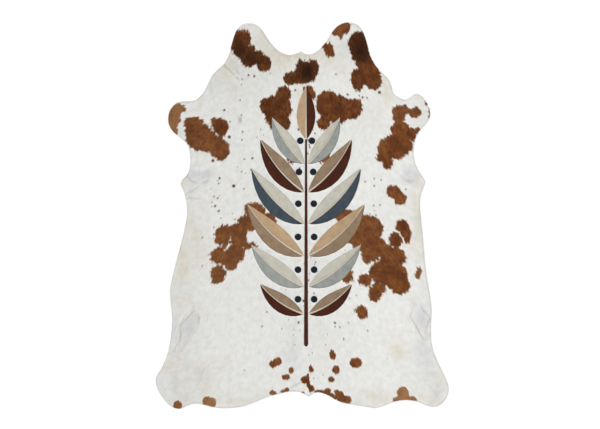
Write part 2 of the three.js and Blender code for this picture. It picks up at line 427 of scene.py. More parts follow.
# %% Patches of the coat
# Each patch: its tone from -1, black-brown, to 1, tan, then its ovals as x, y, half width and half
# height, in centimetres
PATCHES = {
    "top of the left neck flap": (-0.1, [(-37.0, 111.2, 4.9, 4.2), (-34.5, 109, 2.8, 3.8)]),
    "left neck flap": (-0.5, [
        (-40.3, 107.8, 5.2, 6.4), (-41.6, 104.9, 3.2, 2.5), (-37, 101.8, 5.6, 4.4), (-32.5, 97, 5.4, 5),
    ]),
    "foot of the left neck flap": (-0.4, [
        (-23.8, 94.3, 4.9, 5.2), (-31.4, 103.8, 2.4, 2.2), (-27.6, 100, 3.4, 2.6),
    ]),
    "left fore shank": (0.65, [
        (-77, 66.2, 4.9, 3.6), (-79.5, 61, 4.6, 4.9), (-80.2, 56, 3.4, 4.4), (-78.8, 52.3, 2.1, 2.6),
    ]),
    "left shoulder": (0.15, [
        (-66.8, 53, 5.7, 7.8), (-67, 57.3, 5.9, 3.7), (-60.5, 50.8, 5, 5.4), (-63, 47, 8.4, 7),
        (-56, 44.6, 7.2, 6.2), (-50.2, 40.8, 5.6, 6.4),
    ]),
    "by the left shoulder": (0.0, [
        (-50.6, 55.2, 5.1, 5.6), (-50.9, 51.6, 3.6, 2.9), (-54.4, 58.6, 1.7, 2),
    ]),
    "left of the neck": (-0.3, [
        (-11.4, 75.2, 4.6, 5.1), (-17.5, 67.5, 8.3, 6.6), (-20.2, 68.7, 5.7, 5), (-10.6, 66, 4.5, 6),
        (-13.8, 57.2, 6.6, 6), (-18.5, 61, 4.4, 3.2),
    ]),
    "neck": (-0.45, [
        (-7, 85.2, 4.3, 4.4), (2.9, 89.6, 6.9, 5.5), (1, 85.7, 7, 4), (-0.9, 92.4, 2.9, 4.4),
        (7.2, 92.2, 3.1, 4), (4.8, 96.9, 0.9, 1),
    ]),
    "right of the neck": (-0.15, [
        (3.6, 77.5, 3.3, 2.9), (5.9, 74.2, 2.6, 3), (16, 69, 7.2, 8.3), (22, 66, 8, 9),
        (31, 66, 6.2, 6.2), (34.3, 69, 2.9, 3), (13.5, 57.4, 4.2, 4.2),
    ]),
    "tip of the right neck flap": (0.1, [
        (24.4, 116.4, 5.7, 4.2), (24.2, 112, 1.9, 2.1), (20.8, 114, 2.4, 2.4),
    ]),
    "by the right neck flap": (-0.1, [
        (16.7, 102.8, 2.7, 4), (14.5, 104.9, 1.9, 1.7), (18.8, 99.8, 1.5, 1.5),
    ]),
    "right neck flap": (-0.6, [
        (35.3, 106.2, 6.2, 8), (31, 107.8, 2.2, 2.6), (36.8, 98.5, 5.6, 6), (32.5, 101.7, 2.6, 2.6),
    ]),
    "below the right neck flap": (-0.15, [
        (41, 91.5, 7, 6), (35.4, 84.3, 5.3, 6.8), (34, 86.5, 3.2, 3.8), (44, 84, 5.3, 6.7),
    ]),
    "right fore shank": (0.15, [
        (59, 64.3, 3.2, 3.6), (62.6, 65.8, 3.4, 3.2), (70, 63.8, 3.6, 3.4), (66.3, 64, 2.3, 1.6),
        (59.8, 60.7, 3.8, 3.4),
    ]),
    "right shoulder": (0.03, [
        (61, 52.5, 6, 6), (59, 43.6, 9.6, 7.2), (52, 41, 5, 7), (48.8, 37, 2.8, 3.6), (52.7, 34, 3.3, 5),
        (58.8, 37.6, 4.4, 3), (67.3, 50.3, 4, 3.6), (71.4, 52.9, 2.6, 1.7),
    ]),
    "edge of the right fore shank": (-0.1, [
        (77.3, 70, 1.3, 1.4), (79.1, 64.5, 1.2, 2), (79, 60, 0.8, 1.2),
    ]),
    "left of the middle": (0.0, [(-5.8, 37.3, 3.9, 5.1)]),
    "right of the middle": (0.15, [(12, 38.5, 5.8, 5.8)]),
    "right ribs": (0.1, [(57, 14.6, 4.2, 4.1), (60.7, 10.6, 3.9, 4.2), (54.4, 16.9, 2, 2)]),
    "left ribs": (0.15, [
        (-30.4, 4, 5.3, 4.3), (-26.6, 2.6, 4, 3.7), (-31.5, -4.2, 8.2, 5), (-22, -3, 6, 4.6),
        (-17.4, 1.5, 2.3, 2), (-39.5, -9, 6, 4.4), (-33, -18.5, 5, 2),
    ]),
    "left flank, upper": (0.2, [
        (-48.1, -12, 5.6, 6.2), (-50.3, -15, 4, 3.2), (-39.2, -13.5, 5, 6), (-41, -19, 5, 3.6),
        (-48, -25, 9.1, 5.9), (-45.2, -29.3, 5.6, 4.8), (-39, -24, 4, 4),
    ]),
    "left flank, lower": (0.2, [(-51.7, -36.2, 4.8, 5.4), (-53.9, -40, 2.6, 2)]),
    "right flank, upper": (0.12, [
        (27.5, -0.6, 7.5, 4.2), (38, -8.6, 12.2, 9.2), (31, -13, 7, 4.8), (36.5, -18.5, 5, 4),
        (44.7, -20, 7.8, 6.4), (42, -25.3, 5.4, 4.8), (52, -22, 5, 3.6),
    ]),
    "right flank, lower": (0.06, [
        (56.5, -26, 7.9, 6.6), (49.4, -35.4, 8.2, 6.8), (58, -37.8, 7.5, 8), (60.6, -43.8, 6.3, 5.2),
        (46.4, -46, 5.1, 4.6), (45.2, -49.5, 3.7, 4), (38.9, -39.9, 4.4, 3.7), (52, -40, 4, 4),
    ]),
    "by the right flank": (0.0, [
        (57.8, -15, 4.2, 4.8), (61.9, -6.6, 3.9, 4), (64.2, -11, 3.5, 5.4), (65.6, -15, 1.5, 2.4),
    ]),
    "inside the right flank": (0.2, [(27.9, -37.3, 4, 4.2)]),
    "edge of the right flank": (0.35, [(71.9, -36.6, 1.8, 3.2), (72.6, -34.4, 1.4, 2.2)]),
    "below the right flank": (0.1, [
        (36.8, -58, 3, 2.4), (38, -61.5, 2.8, 2.6), (34.4, -58.6, 1.7, 1.4), (35.9, -61.6, 1.5, 1.9),
    ]),
    "left of the rump": (0.1, [(-17.8, -92.1, 2.6, 2.3), (-15, -90.5, 2.5, 2.5)]),
    "rump, left": (0.15, [(-6.7, -96, 1.6, 2.1), (-10.1, -100.1, 2.6, 1.7)]),
    "tail root, left": (0.25, [(-18, -110, 2.3, 1.7), (-11.6, -109, 2, 1), (-9.3, -107.8, 1.4, 1.3)]),
    "tail root, middle": (0.0, [
        (1.7, -101.8, 2.5, 2.4), (3.6, -99.9, 0.9, 2), (4, -104.6, 1.1, 2), (5.8, -107.3, 1.8, 2.1),
    ]),
    "above the tail root": (0.0, [(5.9, -95.5, 1.5, 1.6), (5.2, -94.2, 0.8, 1.4)]),
    "rump, right": (0.1, [
        (19.3, -86.7, 1.9, 2.8), (18.1, -85, 0.9, 1.4), (21.1, -95.6, 2.3, 2.8), (18.2, -101.5, 2.1, 1.8),
    ]),
    "right of the rump": (0.05, [(33.3, -91.2, 3.8, 3.2)]),
    "edge right of the tail": (0.2, [
        (10, -109.3, 2.2, 1.2), (13, -109.8, 2.6, 1.3), (16, -108.7, 1.9, 1.9), (17.6, -111.5, 2.4, 1.5),
        (20, -113, 1.6, 1.5), (21.3, -108.8, 1.6, 1.2),
    ]),
    "right of the tail": (0.15, [(24.3, -113.2, 3, 2.7), (28, -114.2, 2.7, 2.5), (23.3, -110.8, 2.2, 2)]),
    "right hock": (0.9, [(62.5, -110.5, 3.6, 4.5), (58.8, -114.3, 2.6, 1.8), (67.5, -113.8, 3.6, 1.9)]),
    "left hock": (0.85, [(-58.6, -115.2, 3, 3), (-55.8, -116, 2.7, 3.3)]),
    "left hind shank": (0.3, [(-77, -117.6, 2.8, 2.7)]),
    "tip of the tail": (0.2, [(0.5, -110, 1.3, 0.9)]),
}
# White places inside a patch: x, y, half width and half height, in centimetres
GAPS = [
    (-30.5, -13.3, 3.3, 2.5), (-44.2, -14.4, 0.5, 1.5), (43.3, -41.1, 1.1, 1.6), (39.2, 77.6, 2.2, 3.4),
]
# White lines between patches: half width, then the path, in centimetres
PARTINGS = [
    (0.65, [(-61.5, 60), (-58.6, 56.8), (-56, 54)]),
    (0.4, [(-56, 54), (-54.4, 52.1)]),
    (0.28, [(-54.4, 52.1), (-51.6, 49.2)]),
    (0.5, [(-47.8, -21), (-45.6, -19.2), (-43.9, -17.2)]),
    (0.55, [(-55.2, -31.6), (-51.8, -30.2), (-49, -31.1), (-47.7, -33.3), (-45, -35.2)]),
    (0.5, [(57.2, -8), (61.6, -12.9), (64, -18)]),
    (1.0, [(41, -31.6), (43.4, -29.8)]),
    (0.5, [(43.4, -29.8), (46.4, -28)]),
    (0.4, [(43.2, -42), (42.6, -44), (40, -45.6)]),
]
print("patches:", len(PATCHES), "of", sum(len(ovals) for _, ovals in PATCHES.values()), "ovals")

# %% [markdown]
# Small flecks are round, and have a list of their own so that they stay crisp. Soft spots mark where
# a patch is darker and where the white is stained cream by wear; others are painted shade, cool grey
# in the folds of the skin and a dimmer white towards the hide's edges. Narrow marks follow the folds
# in which the hide once lay: cream stains, and grey painted shade in the creases.

# %% Flecks, dark hair, stains and painted shade
# x and y of each fleck in centimetres, by its half width in centimetres
FLECKS = {
    0.28: [
        (-25.6, 53.3), (-23.8, 50.1), (-39.8, 30.2), (-43, 1.4), (-24.5, 22.4), (-23.3, 20.8),
        (-20.6, 18.2), (-55.9, 5.5), (-13.3, 10.4), (-2.8, 59.5), (4.5, -61.5), (3.6, -25.8),
        (-51.3, 12.3), (-56.3, 16.7), (1.5, -76.3), (15.9, -73.6), (6.4, -85), (4.2, -86.4), (14.5, -80),
        (13.2, -98.7), (53, -88.8), (-12.5, -70.1), (-4.9, -70.6), (-5.3, -73.9), (-1.3, -71.3),
        (-4.4, -80), (-35.5, -95.9), (28.8, -66.4),
    ],
    0.35: [
        (-19.5, 88.3), (-37.4, 81.3), (-27.7, 48.6), (-2.3, 26.2), (-34.9, 26.3), (-52.2, 21.8),
        (-55.8, 8.2), (-50.2, -1.6), (-21.9, 5.4), (-3.7, 44.7), (7.8, -30.3), (4.6, -36), (1.8, -38.1),
        (3.4, -47.6), (1, -56), (11, -56.3), (29.4, -51.2), (33.6, -49.7), (26.6, -21.6), (32.1, -40.7),
        (-8.3, -64.7), (1, 54), (2.5, 54.5), (3, 51.8), (4, 50), (3, 48), (2.7, 39.7), (17, 78), (45, 3),
        (42, 1), (-9.8, -46), (-6.5, -56.5), (7.2, -100.8),
    ],
    0.47: [
        (-37, 84.4), (-38.3, 71.4), (-37.4, 62.3), (-44.6, 58), (-36.8, 51.9), (-37.1, 46.9), (-7.1, 49),
        (-8.2, 32.8), (-7.7, 30.8), (-35.6, 34.9), (-31.6, 28.4), (-37.3, 27.2), (-10.8, 25.1),
        (-5.9, 23), (-51.6, 19.9), (-35.9, 16.5), (-54.4, 11.7), (-52.2, 10.7), (-41.3, -2.4),
        (-54.5, -7.3), (-54.6, -11.8), (6.5, 53), (8, 51), (3.7, 46.7), (4.5, 43.7), (3.7, 38.3),
        (4.7, 42.3), (35.5, 74.3), (19.5, 75.5), (21, 87.5), (35.2, 21.8), (39, 21), (44.7, 22.8),
        (49, 22), (44.7, 18.3), (64.3, 16.3), (44.3, 6.2), (48.2, 6.6), (45.8, 0.3), (5.5, -26),
        (1.5, -29.7), (8.5, -29), (3.1, -32.4), (4.3, -40), (3.1, -42.5), (13.8, -44.1), (7.5, -48.1),
        (3.1, -49.6), (30.2, -29.6), (9.2, -59.3), (16.1, -60.3), (20.7, -68.9), (23.5, -69.1),
        (40.6, -71.3), (25.8, -76.5), (-12.5, -42.5), (-10, -56), (-21.7, -59.7), (-24.7, -68.8),
        (-61.8, -31.2), (-61.7, -13.5), (40.2, 73),
    ],
    0.66: [
        (-48, 65.3), (-33.1, 87), (-29.6, 86.3), (-4.1, 77.7), (-2.1, 53.3), (-1.4, 45.7), (-10.9, 31),
        (-1.4, 29.3), (-30.7, 35.5), (-51, 23.2), (-53.8, 5.9), (-51.5, 2.9), (2.4, -28.4), (0.9, -52.9),
        (20.4, -66.5), (-2.1, -66.3), (37.5, 73.3), (28.3, 75),
    ],
    0.95: [
        (-45, 48.7), (-55.2, 34), (-42.2, 18.4), (48, 76.3), (29.7, -23.3),
    ],
}
# Soft spots: x, y, half width and half height in centimetres, and strength
DARK_HAIR = [
    (-38.5, 103, 4.5, 5, 0.45), (-30, 97, 6, 5, 0.35), (2.8, 89.2, 4.0, 5.8, 0.88), (-18, 67, 6, 5, 0.25),
    (37, 103, 6, 9, 0.4), (39, 96, 5, 5, 0.15), (44, 84.5, 4, 5, 0.35), (34, 82, 4, 5, 0.35),
    (22, 68, 4, 7, 0.35), (-66, 52, 6, 5, 0.4), (-56, 46, 5, 4, 0.25), (63, 47, 6, 4, 0.3),
    (56, 38, 6, 4, 0.2), (38, -10, 7, 5, 0.3), (52, -33, 7, 5, 0.35), (61, -40, 4, 6, 0.3),
    (-30, -3, 6, 4, 0.25), (-45, -25, 6, 4, 0.25), (46, -47, 4, 4, 0.25), (1.7, -102, 2, 2, 0.4),
    (63, -8, 3, 4, 0.3), (-51, 52, 4, 3, 0.35),
]
WARM_STAINS = [
    (-25, 108, 5, 10, 0.45), (-12, 100, 10, 4, 0.6), (0, 99, 8, 3, 0.6), (-13, 94, 6, 6, 0.45),
    (15, 97, 8, 6, 0.4), (27, 90, 5, 5, 0.3), (-46, 89, 5, 6, 0.5), (-43.5, 94.5, 3, 3, 0.6),
    (-42, 79, 3, 2, 0.4), (-63, 70, 1.5, 4, 0.5), (-2, 76, 3, 6, 0.4), (3, 67, 3, 5, 0.4),
    (52, 84, 3, 8, 0.5), (53, 74, 4, 5, 0.5), (72, 72.5, 3, 3, 0.4), (43, 62, 6, 7, 0.25),
    (-72.5, 20.5, 3, 3, 0.5), (-70, -4, 3, 5, 0.5), (-65, -11, 4, 5, 0.6), (-63, -24, 8, 8, 0.4),
    (-75, -23, 4, 7, 0.5), (-73, -33, 3, 6, 0.45), (-76, -37, 6, 6, 0.25), (-75, -52, 6, 3, 0.3),
    (-84, -94.5, 7, 3, 0.5), (-78, -89, 5, 3, 0.35), (-64, -95, 4, 4, 0.35), (-48, -91, 3, 5, 0.3),
    (-59, -106, 5, 9, 0.35), (-72, -114, 4, 3, 0.3), (-42, -115.5, 10, 3, 0.4), (71.8, 23, 2.4, 4, 0.6),
    (70, 10, 3, 6, 0.35), (72, -2, 3, 9, 0.6), (73.5, -12, 3, 5, 0.5), (68, -20, 4, 5, 0.4),
    (74.5, -26, 2.5, 4, 0.5), (60, -85, 4, 4, 0.6), (57, -81, 6, 7, 0.25), (48, -113, 7, 4, 0.45),
    (42, -110, 5, 3, 0.3), (85, -102, 3, 4, 0.35), (82, -116.5, 4, 2, 0.5), (79, -113, 6, 3, 0.3),
    (69, -53, 1.6, 4, 0.45), (72, -112, 5, 4, 0.2),
]
# Painted shade: cool grey in the folds of the armpits, flanks and neck, along the middle of the back and at
# the lower edge
COOL_SHADE = [
    (-66, 25.5, 5.5, 3.5, 0.8), (-59, 26, 4, 2, 0.6), (-41, 93, 3, 4, 0.3), (-54, 80, 4, 5, 0.2),
    (-70, -68, 4.5, 8, 0.5), (-78, -73, 4, 8, 0.5), (-78, -85, 4, 3, 0.3), (-78.5, -105, 2.2, 8, 0.4),
    (-71, -92, 3, 3, 0.35), (-62, -101, 3, 6, 0.25), (66, 27, 5, 4.5, 0.7), (66, 21, 5, 2.5, 0.4),
    (73, -62, 5, 7, 0.65), (74, -83, 5, 8, 0.45), (78, -95, 4, 10, 0.3), (84, -108, 4, 7, 0.3),
    (-5, -72, 5, 20, 0.25), (8, -35, 3, 12, 0.25), (-8, -88, 6, 6, 0.3), (11, -66, 4, 12, 0.2),
    (28, 104, 4, 6, 0.3), (-40, 43.5, 5, 1.2, 0.4), (33, -117, 4, 1.5, 0.5), (-7, -109, 4, 1, 0.5),
]
# Painted shade: the white is dimmer in these broad spots towards the hide's edges
DIM_SHADE_SPOTS = [
    (-40, 95, 30, 26, 0.5), (-8, 103, 14, 8, 0.3), (30, 104, 14, 14, 0.35), (-76, 0, 14, 40, 0.35),
    (-76, -60, 14, 30, 0.3), (-76, -106, 18, 18, 0.5), (80, -100, 18, 24, 0.5), (76, -10, 8, 34, 0.5),
    (76, 62, 12, 14, 0.35), (60, 84, 14, 12, 0.3), (-20, -114, 24, 5, 0.3), (50, -114, 20, 5, 0.3),
]
# Lines along which the hide lay folded, in centimetres
LEFT_FOLD = [(-67, -58.7), (-69.4, -61.8), (-73.2, -65.5), (-75.2, -69.3), (-75, -74.2), (-76.2, -78.5)]
LEFT_SIDE_FOLD = [(-64.5, -60.6), (-63.6, -64.3), (-63.9, -67.2)]
RIGHT_FOLD = [
    (70.1, -55), (67.9, -58.7), (67, -62.4), (69.1, -66.2), (71.6, -70.5), (73.5, -74.2), (75.3, -76.7),
    (77.4, -77.2),
]
# Narrow marks: half width and strength, then the path, in centimetres
WARM_MARKS = [
    (0.7, 0.9, LEFT_FOLD),
    (0.5, 0.8, LEFT_SIDE_FOLD),
    (0.6, 0.5, [(-70.5, -40), (-71.8, -46), (-69.5, -53), (-65.5, -61), (-64.3, -66), (-65.5, -73)]),
    (0.7, 0.6, [(-70.5, -78), (-73.5, -82), (-76, -85.5)]),
    (0.6, 0.7, RIGHT_FOLD),
    (0.6, 0.7, [(79.1, -64), (78.2, -66.8), (76.9, -69.3), (76.6, -72.4), (78.1, -75.5), (77.4, -77.2)]),
]
# Painted shade: grey lines in the creases of the skin
CREASE_SHADE_MARKS = [
    (0.45, 0.6, [(-49, 94), (-46.5, 91.5), (-44, 89), (-42, 87.3)]),
    (0.4, 0.45, [(-41.6, 85.8), (-40.3, 85.2), (-39.2, 84.4)]),
    (0.4, 0.4, [(-41, 91), (-39.6, 88.6), (-38.7, 87.8)]),
    (1.1, 0.55, [(-38.2, 61), (-38.4, 57.5)]),
    (0.5, 0.12, [(-56.5, 84), (-56.3, 78), (-56.5, 73)]),
    (0.6, 0.35, [(-71, 28), (-70.6, 24), (-68.5, 21.3), (-65, 20.2)]),
    (0.6, 0.3, [(-62.5, 19.9), (-60, 20.6), (-57.8, 22)]),
    (0.6, 0.35, [(-72, 13.3), (-68, 15.3), (-64, 18)]),
    (0.5, 0.3, [(-72, 10.8), (-67, 10.5), (-63, 10.4)]),
    (0.45, 0.34, LEFT_FOLD),
    (0.4, 0.3, LEFT_SIDE_FOLD),
    (0.35, 0.3, [(-61.9, 23.5), (-60.4, 23.3)]),
    (0.7, 0.2, [(-75.5, -77), (-77.5, -80.5), (-79, -84)]),
    (0.8, 0.12, [(-52, -90), (-57, -91.8), (-61.5, -97), (-63.5, -103)]),
    (0.8, 0.2, [(60.5, 25), (64, 21.8), (67, 20.6), (70.5, 21.8)]),
    (0.5, 0.3, [
        (73.5, -54.7), (74.5, -58.1), (76.3, -60), (78.1, -61.8), (79.1, -64), (78.2, -66.8),
        (76.9, -69.3), (76.6, -72.4),
    ]),
    (0.45, 0.24, RIGHT_FOLD[1:]),
    (0.3, 0.2, [(69.1, -63.7), (72.9, -62.1)]),
    (0.3, 0.2, [(70.1, -65.2), (73.8, -64.3)]),
    (0.3, 0.2, [(70.7, -66.8), (74.4, -65.8)]),
    (0.3, 0.2, [(71.9, -68.3), (75, -67.4)]),
    (0.3, 0.2, [(72.5, -69.9), (76, -68.9)]),
    (0.4, 0.4, [(-1, -103.5), (-4, -105), (-8, -107)]),
    (0.8, 0.12, [(78, -104), (83, -111), (86, -116)]),
]
print("flecks:", sum(len(places) for places in FLECKS.values()))


# %% The pattern's values at a place
PATCH_BLEND = 4 * MILLIMETRE


def oval_share(x, y, cx, cy, wide, high):
    """0 in the middle of an oval given in centimetres, and 1 on its edge."""
    return np.hypot((x / CENTIMETRE - cx) / wide, (y / CENTIMETRE - cy) / high)


def brown_at(x, y):
    """The distance inside the nearest patch in metres, and the tone of the patches there."""
    weight, tone_weight, total = (np.full(np.shape(x), 1e-12) for _ in range(3))
    for tone, ovals in PATCHES.values():
        for cx, cy, wide, high in ovals:
            inside = (1 - oval_share(x, y, cx, cy, wide, high)) * min(wide, high) * CENTIMETRE
            weight += np.exp(np.clip(inside / PATCH_BLEND, -30, 30))
            share = np.exp(np.clip(inside / (4 * PATCH_BLEND), -9, 9))
            tone_weight += share
            total += share * tone
    depth = PATCH_BLEND * np.log(weight)
    for cx, cy, wide, high in GAPS:
        outside = (oval_share(x, y, cx, cy, wide, high) - 1) * min(wide, high) * CENTIMETRE
        depth = np.minimum(depth, outside)
    for half, path in PARTINGS:
        gap, _ = path_distance(x / CENTIMETRE, y / CENTIMETRE, path)
        depth = np.minimum(depth, (gap - half) * CENTIMETRE)
    return depth, total / tone_weight


def flecks_at(x, y):
    """The distance inside the nearest fleck, in metres."""
    depth = np.full(np.shape(x), -0.05)
    for half, places in FLECKS.items():
        for cx, cy in places:
            gap = np.hypot(x - cx * CENTIMETRE, y - cy * CENTIMETRE)
            depth = np.maximum(depth, half * CENTIMETRE - gap)
    return depth


def spots_at(x, y, spots):
    """A soft value from 0 to 1 round each of some spots."""
    value = np.zeros(np.shape(x))
    for cx, cy, wide, high, strength in spots:
        value += strength * np.exp(-(oval_share(x, y, cx, cy, wide, high) ** 2))
    return np.clip(value, 0, 1)


def marks_at(x, y, marks):
    """A value from 0 to 1 along each of some narrow marks, which fade at their ends."""
    value = np.zeros(np.shape(x))
    for half, strength, path in marks:
        gap, along = path_distance(x / CENTIMETRE, y / CENTIMETRE, path)
        fade = np.sin(math.pi * np.clip(along, 0.04, 0.96)) ** 0.4
        value = np.maximum(value, strength * fade * np.exp(-((gap / half) ** 2)))
    return value


def coat_at(x, y):
    """All that the coat's material asks of a place, by name."""
    depth, tone = brown_at(x, y)
    return {
        "brown": depth,
        "tone": tone,
        "fleck": flecks_at(x, y),
        "dark": spots_at(x, y, DARK_HAIR),
        "warm": np.maximum(spots_at(x, y, WARM_STAINS), marks_at(x, y, WARM_MARKS)),
        "cool_shade": spots_at(x, y, COOL_SHADE),
        "dim_shade": spots_at(x, y, DIM_SHADE_SPOTS),
        "fold": marks_at(x, y, CREASE_SHADE_MARKS),
        "rim": hide_depth(x, y),
    }


print("brown in the neck patch:", brown_at(np.array([0.035]), np.array([0.905]))[0].round(4), "m inside")

# %% [markdown]
# A hide's skin is a sheet about 1.6 millimetres thick, trimmed with a knife. Its mesh is a net of
# triangles inside the outline: points along the cut, and a loose honeycomb of them within. The same
# net serves both sides, with a wall along the cut, so the sheet is closed and its back can be seen.


# %% Nets of triangles
ROW_STEP = 0.866


def net(rim, inner):
    """Triangles over a closed outline and the points inside it."""
    points = np.concatenate([rim, inner])
    count = len(rim)
    loop = [(i, (i + 1) % count) for i in range(count)]
    made = delaunay_2d_cdt([tuple(p) for p in points], loop, [], 1, 1e-7)
    return np.array([tuple(v) for v in made[0]]), [tuple(f) for f in made[2]]


def honeycomb(low, high, step, rng, jitter):
    """Points about a step apart, in rows that are ROW_STEP of a step apart, each moved a little."""
    columns = int((high[0] - low[0]) / step) + 1
    rows = int((high[1] - low[1]) / (step * ROW_STEP)) + 1
    i, j = np.meshgrid(np.arange(columns), np.arange(rows))
    x = low[0] + step * (i + 0.5 * (j % 2))
    y = low[1] + step * ROW_STEP * j
    points = np.stack([x.ravel(), y.ravel()], axis=1)
    return points + rng.uniform(-jitter, jitter, points.shape) * step


def store(mesh, values):
    """Stores numbers or places at a mesh's points, for its material to read."""
    for name, value in values.items():
        value = np.asarray(value, np.float32)
        kind = "FLOAT" if value.ndim == 1 else "FLOAT_VECTOR"
        data = mesh.attributes.new(name, kind, "POINT").data
        data.foreach_set("value" if value.ndim == 1 else "vector", value.ravel())


def two_sided(name, rim, inner, top, bottom, materials):
    """A closed sheet over an outline. top and bottom give the heights of its sides at x and y."""
    flat, faces = net(rim, inner)
    count = len(flat)
    x, y = flat.T
    upper = np.column_stack([x, y, top(x, y)])
    lower = np.column_stack([x, y, bottom(x, y)])
    used = set()
    for face in faces:
        used.update(zip(face, face[1:] + face[:1]))
    wall = [(a, b) for a, b in used if (b, a) not in used]
    backs = [tuple(v + count for v in reversed(face)) for face in faces]
    walls = [(b, a, a + count, b + count) for a, b in wall]
    mesh = bpy.data.meshes.new(name)
    mesh.from_pydata(np.concatenate([upper, lower]).tolist(), [], faces + backs + walls)
    for material in materials:
        mesh.materials.append(material)
    slots = np.zeros(len(mesh.polygons), np.int32)
    slots[len(faces):] = len(materials) - 1
    mesh.polygons.foreach_set("material_index", slots)
    smooth = np.ones(len(mesh.polygons), bool)
    smooth[len(faces) + len(backs):] = False
    mesh.polygons.foreach_set("use_smooth", smooth)
    return placed(name, mesh)


print("helpers for sheets")

# %% [markdown]
# The coat's material reads the stored values. Noise is added to the distance inside a patch before
# it is cut off, so the edge of a patch wanders and breaks into tufts. White hair is never one white:
# it runs to cream where the hide is worn or stained, and painted shade makes it grey in the folds and
# creases, dimmer towards the hide's edges and darker just inside the cut and between the tufts.

# %% Coat of the hide
WHITE_HAIR = (0.875, 0.872, 0.85, 1)
SOFT_WHITE = (0.805, 0.803, 0.775, 1)
DIM_SHADE_WHITE = (0.66, 0.655, 0.615, 1)
CREAM_STAIN = (0.71, 0.635, 0.47, 1)
EDGE_CREAM = (0.93, 0.885, 0.79, 1)
GREY_SHADE = (0.635, 0.642, 0.675, 1)
CREASE_SHADE_GREY = (0.23, 0.22, 0.20, 1)
PAINTED_SHADE = (0.09, 0.07, 0.05, 1)
ORANGE_BROWN = (0.295, 0.100, 0.026, 1)
RED_BROWN = (0.185, 0.058, 0.017, 1)
DEEP_BROWN = (0.086, 0.0245, 0.0075, 1)
BLACK_BROWN = (0.030, 0.0095, 0.004, 1)
FLECK_BROWN = (0.16, 0.085, 0.045, 1)
TAN_HAIR = (0.40, 0.205, 0.095, 1)


def coat_finish(name, roughness, bump_height):
    """The coat's material. bump_height is the height of its finest relief, in metres."""
    coat = Finish(name)
    place = coat.stored("place", "Vector")
    shade = coat.stored("shade")
    tone = coat.stored("tone")
    broad = coat.noise(place, 15.0, 2.0)
    clouds = coat.noise(place, 30.0, 3.0)
    wisps = coat.noise(place, 95.0, 3.0, 0.6)
    strands = coat.noise(place, 420.0, 2.0)
    lobes = coat.cells(place, 46.0)
    scallops = coat.cells(place, 115.0)
    teeth = (clouds - 0.5) * 0.011 + (wisps - 0.5) * 0.014
    teeth = teeth + (0.48 - lobes) * 0.014 + (0.46 - scallops) * 0.007
    ragged = coat.stored("brown") + teeth * coat.stored("ruffle")
    white = coat.mix(clouds.between(0.3, 0.75), WHITE_HAIR, SOFT_WHITE)
    # Painted shade: the white is dimmed towards the hide's edges.
    white = coat.mix(coat.stored("dim_shade") * (clouds * 0.6 + 0.3), white, DIM_SHADE_WHITE)
    stained = coat.stored("warm") * (wisps.between(0.3, 0.75) * 0.7 + clouds * 0.7)
    white = coat.mix(stained, white, CREAM_STAIN)
    # Painted shade: cool grey in the folds.
    white = coat.mix(coat.stored("cool_shade") * (clouds * 0.5 + 0.6), white, GREY_SHADE)
    # Painted shade: grey along the creases.
    white = coat.mix(coat.stored("fold"), white, CREASE_SHADE_GREY)
    hair = coat.mix(broad.between(0.4, 0.6), RED_BROWN, ORANGE_BROWN)
    hair = coat.mix(wisps.between(0.4, 0.68) * 0.5 + shade.between(0.3, 0.85) * 0.6, hair, DEEP_BROWN)
    hair = coat.mix(tone * (strands * 0.5 + broad + 0.1), hair, TAN_HAIR)
    hair = coat.mix((1 - ragged.between(0.001, 0.008)) * 0.35, hair, RED_BROWN)
    hair = coat.mix(coat.stored("dark") * (clouds * 0.8 + 0.5) - tone * 0.95, hair, BLACK_BROWN)
    white = coat.mix(ragged.between(-0.011, -0.001) * 0.4, white, EDGE_CREAM)
    colour = coat.mix(ragged.between(-0.001, 0.0015), white, hair)
    small = coat.stored("fleck") + (strands - 0.5) * 0.002
    colour = coat.mix(small.between(-0.0015, 0.0005), colour, FLECK_BROWN)
    # Painted shade: the hair darkens within about 13 millimetres of the cut.
    colour = coat.mix((1 - coat.stored("rim").between(0.002, 0.013)) * 0.25, colour, PAINTED_SHADE)
    # Painted shade between the tufts: a tuft with a low shade value is darkened.
    colour = coat.mix((0.6 - shade).between(0.0, 0.6) * 0.085, colour, PAINTED_SHADE)
    return coat.surface(
        Base_Color=colour,
        Roughness=roughness,
        Specular_IOR_Level=0.05,
        Normal=coat.bump(strands + wisps, bump_height, 0.5),
    )


skin_finish = coat_finish("hide_hair_side", 0.62, 0.0012)
coat_material = coat_finish("hide_hair", 0.5, 0.0003)
print("coat finishes:", skin_finish.name, coat_material.name)

# %% [markdown]
# The back of a hide is suede: pale buff, with a short fibrous nap, faint veins and darker clouds
# where the hair side is brown. It shows only along the cut and when the rug is turned over.

# %% Suede back
SUEDE = (0.60, 0.53, 0.44, 1)
SUEDE_DARK = (0.47, 0.40, 0.32, 1)
SUEDE_CLOUD = (0.40, 0.36, 0.33, 1)

suede = Finish("hide_suede_side")
suede_place = suede.stored("place", "Vector")
clouds = suede.noise(suede_place, 6.0, 4.0, 0.6)
fibres = suede.noise(suede_place, 700.0, 3.0, 0.7)
veins = suede.node(
    "ShaderNodeTexVoronoi",
    {"feature": "DISTANCE_TO_EDGE"},
    {"Vector": suede_place, "Scale": 7.0, "Randomness": 1.0},
)
suede_colour = suede.mix(clouds.between(0.35, 0.7), SUEDE, SUEDE_DARK)
suede_colour = suede.mix(suede.stored("brown").between(-0.01, 0.01) * 0.45, suede_colour, SUEDE_CLOUD)
suede_colour = suede.mix((1 - veins.between(0.0, 0.02)) * 0.25, suede_colour, SUEDE_CLOUD)
suede_finish = suede.surface(
    Base_Color=suede_colour,
    Roughness=0.95,
    Specular_IOR_Level=0.15,
    Sheen_Weight=0.25,
    Normal=suede.bump(fibres + clouds, 0.0008, 0.6),
)
print("suede:", suede_finish.name)

